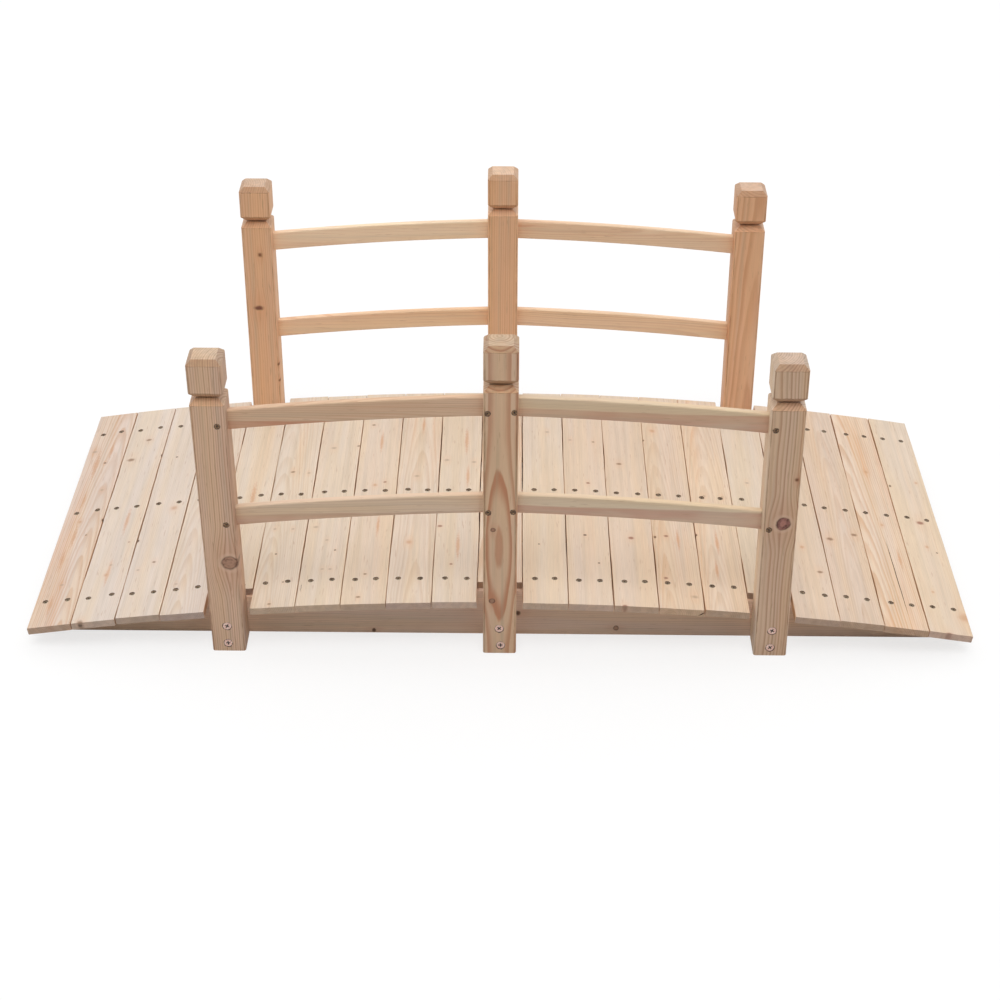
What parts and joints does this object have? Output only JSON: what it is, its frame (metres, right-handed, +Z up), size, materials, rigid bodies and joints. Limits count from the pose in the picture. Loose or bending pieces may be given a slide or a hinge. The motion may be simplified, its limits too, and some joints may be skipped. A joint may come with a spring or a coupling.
{
  "type": "arched garden moon bridge",
  "caption": "Low arched garden bridge in plain softwood: a curved plank deck on arched stringers, with chamfer-headed square posts and curved double rails on both sides.",
  "frame": {"origin": "on the ground, under the middle of the deck", "axes": "+X along the bridge to the right-hand end, +Y across it to the rear railing, +Z up"},
  "size_m": [1.515, 0.682, 0.5535],
  "materials": {
    "deck_softwood": "planed, unfinished",
    "stringer_softwood": "sawn, unfinished",
    "post_softwood": "planed, unfinished",
    "rail_softwood": "planed, unfinished",
    "screw_steel": "plated, dull"
  },
  "bodies": {
    "root": {"deck_board_01": "deck_softwood", "deck_board_02": "deck_softwood", "deck_board_03": "deck_softwood", "deck_board_04": "deck_softwood", "deck_board_05": "deck_softwood", "deck_board_06": "deck_softwood", "deck_board_07": "deck_softwood", "deck_board_08": "deck_softwood", "deck_board_09": "deck_softwood", "deck_board_10": "deck_softwood", "deck_board_11": "deck_softwood", "deck_board_12": "deck_softwood", "deck_board_13": "deck_softwood", "deck_board_14": "deck_softwood", "deck_board_15": "deck_softwood", "deck_board_16": "deck_softwood", "deck_board_17": "deck_softwood", "deck_board_18": "deck_softwood", "deck_board_19": "deck_softwood", "deck_board_20": "deck_softwood", "deck_board_21": "deck_softwood", "stringer_front": "stringer_softwood", "stringer_middle": "stringer_softwood", "stringer_rear": "stringer_softwood", "post_front_left": "post_softwood", "post_front_middle": "post_softwood", "post_front_right": "post_softwood", "post_rear_left": "post_softwood", "post_rear_middle": "post_softwood", "post_rear_right": "post_softwood", "top_rail_front_left": "rail_softwood", "top_rail_front_right": "rail_softwood", "top_rail_rear_left": "rail_softwood", "top_rail_rear_right": "rail_softwood", "lower_rail_front_left": "rail_softwood", "lower_rail_front_right": "rail_softwood", "lower_rail_rear_left": "rail_softwood", "lower_rail_rear_right": "rail_softwood"}
  },
  "joints": []
}
